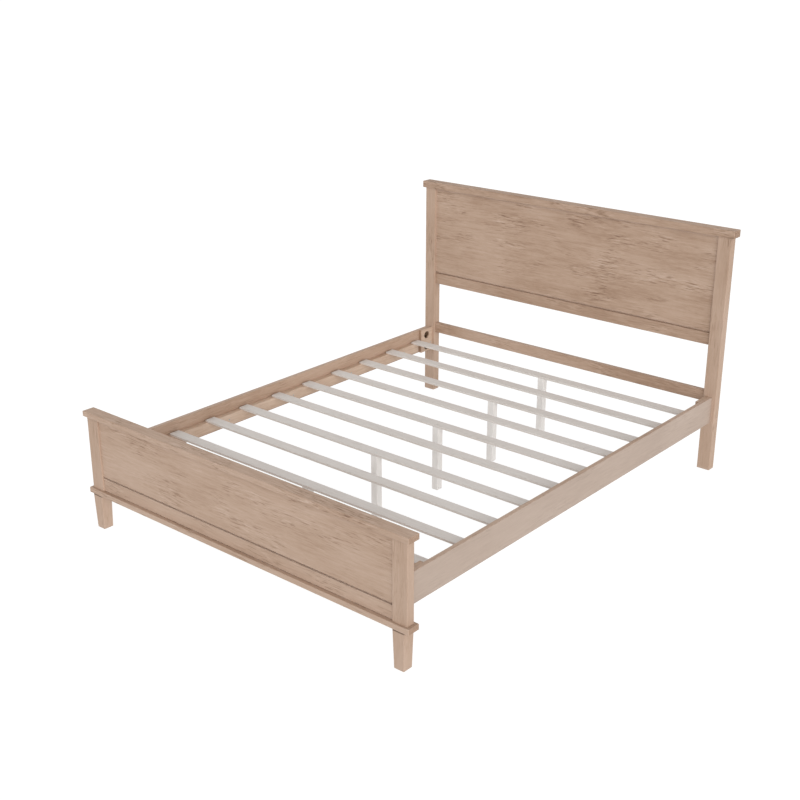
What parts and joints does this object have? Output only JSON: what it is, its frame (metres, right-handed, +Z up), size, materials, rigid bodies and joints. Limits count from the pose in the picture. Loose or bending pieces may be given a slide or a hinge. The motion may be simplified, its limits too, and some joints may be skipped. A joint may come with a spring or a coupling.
{
  "type": "wooden bed frame",
  "caption": "Queen-size wooden bed frame with framed panel headboard, low panel footboard, side rails, cross slats and centre legs.",
  "frame": {"origin": "on the floor, at the middle of the bed's width and length", "axes": "+Z up, +Y from the foot of the bed to the head, +X to the right as seen from the foot looking at the headboard"},
  "size_m": [1.65, 2.128, 1.076],
  "materials": {
    "frame_wood": "washed natural, fine straight grain, matt",
    "panel_wood": "washed natural veneer with darker brown streaks and blotches, matt",
    "cleat_wood": "plain natural, matt",
    "slat_wood": "pale grey-beige plywood, planed, uncoated",
    "dowel_wood": "plain beech",
    "zinc_steel": "zinc plated",
    "black_zinc_steel": "black zinc plated"
  },
  "bodies": {
    "root": {"base_board_screws": "zinc_steel", "bolt_block_foot_left": "cleat_wood", "bolt_block_foot_right": "cleat_wood", "bolt_block_head_left": "cleat_wood", "bolt_block_head_right": "cleat_wood", "bolt_block_screws": "zinc_steel", "centre_leg_1": "slat_wood", "centre_leg_2": "slat_wood", "centre_leg_3": "slat_wood", "centre_leg_4": "slat_wood", "centre_leg_5": "slat_wood", "centre_leg_screws": "zinc_steel", "cleat_screws": "zinc_steel", "connector_nuts": "black_zinc_steel", "connector_studs": "black_zinc_steel", "foot_hanger_bolts": "zinc_steel", "foot_leg_left": "frame_wood", "foot_leg_right": "frame_wood", "foot_threaded_inserts": "zinc_steel", "footboard_base_board": "frame_wood", "footboard_bottom_rail": "panel_wood", "footboard_cap": "frame_wood", "footboard_dowels": "dowel_wood", "footboard_panel": "panel_wood", "footboard_post_left": "frame_wood", "footboard_post_right": "frame_wood", "half_moon_washers": "black_zinc_steel", "headboard_bottom_rail": "panel_wood", "headboard_cap": "frame_wood", "headboard_dowels": "dowel_wood", "headboard_panel": "panel_wood", "headboard_post_left": "frame_wood", "headboard_post_right": "frame_wood", "headboard_stretcher": "frame_wood", "post_threaded_inserts": "zinc_steel", "side_rail_left": "frame_wood", "side_rail_right": "frame_wood", "slat_01": "slat_wood", "slat_02": "slat_wood", "slat_03": "slat_wood", "slat_04": "slat_wood", "slat_05": "slat_wood", "slat_06": "slat_wood", "slat_07": "slat_wood", "slat_08": "slat_wood", "slat_09": "slat_wood", "slat_10": "slat_wood", "slat_cleat_left": "cleat_wood", "slat_cleat_right": "cleat_wood", "slat_screws": "zinc_steel"}
  },
  "joints": []
}
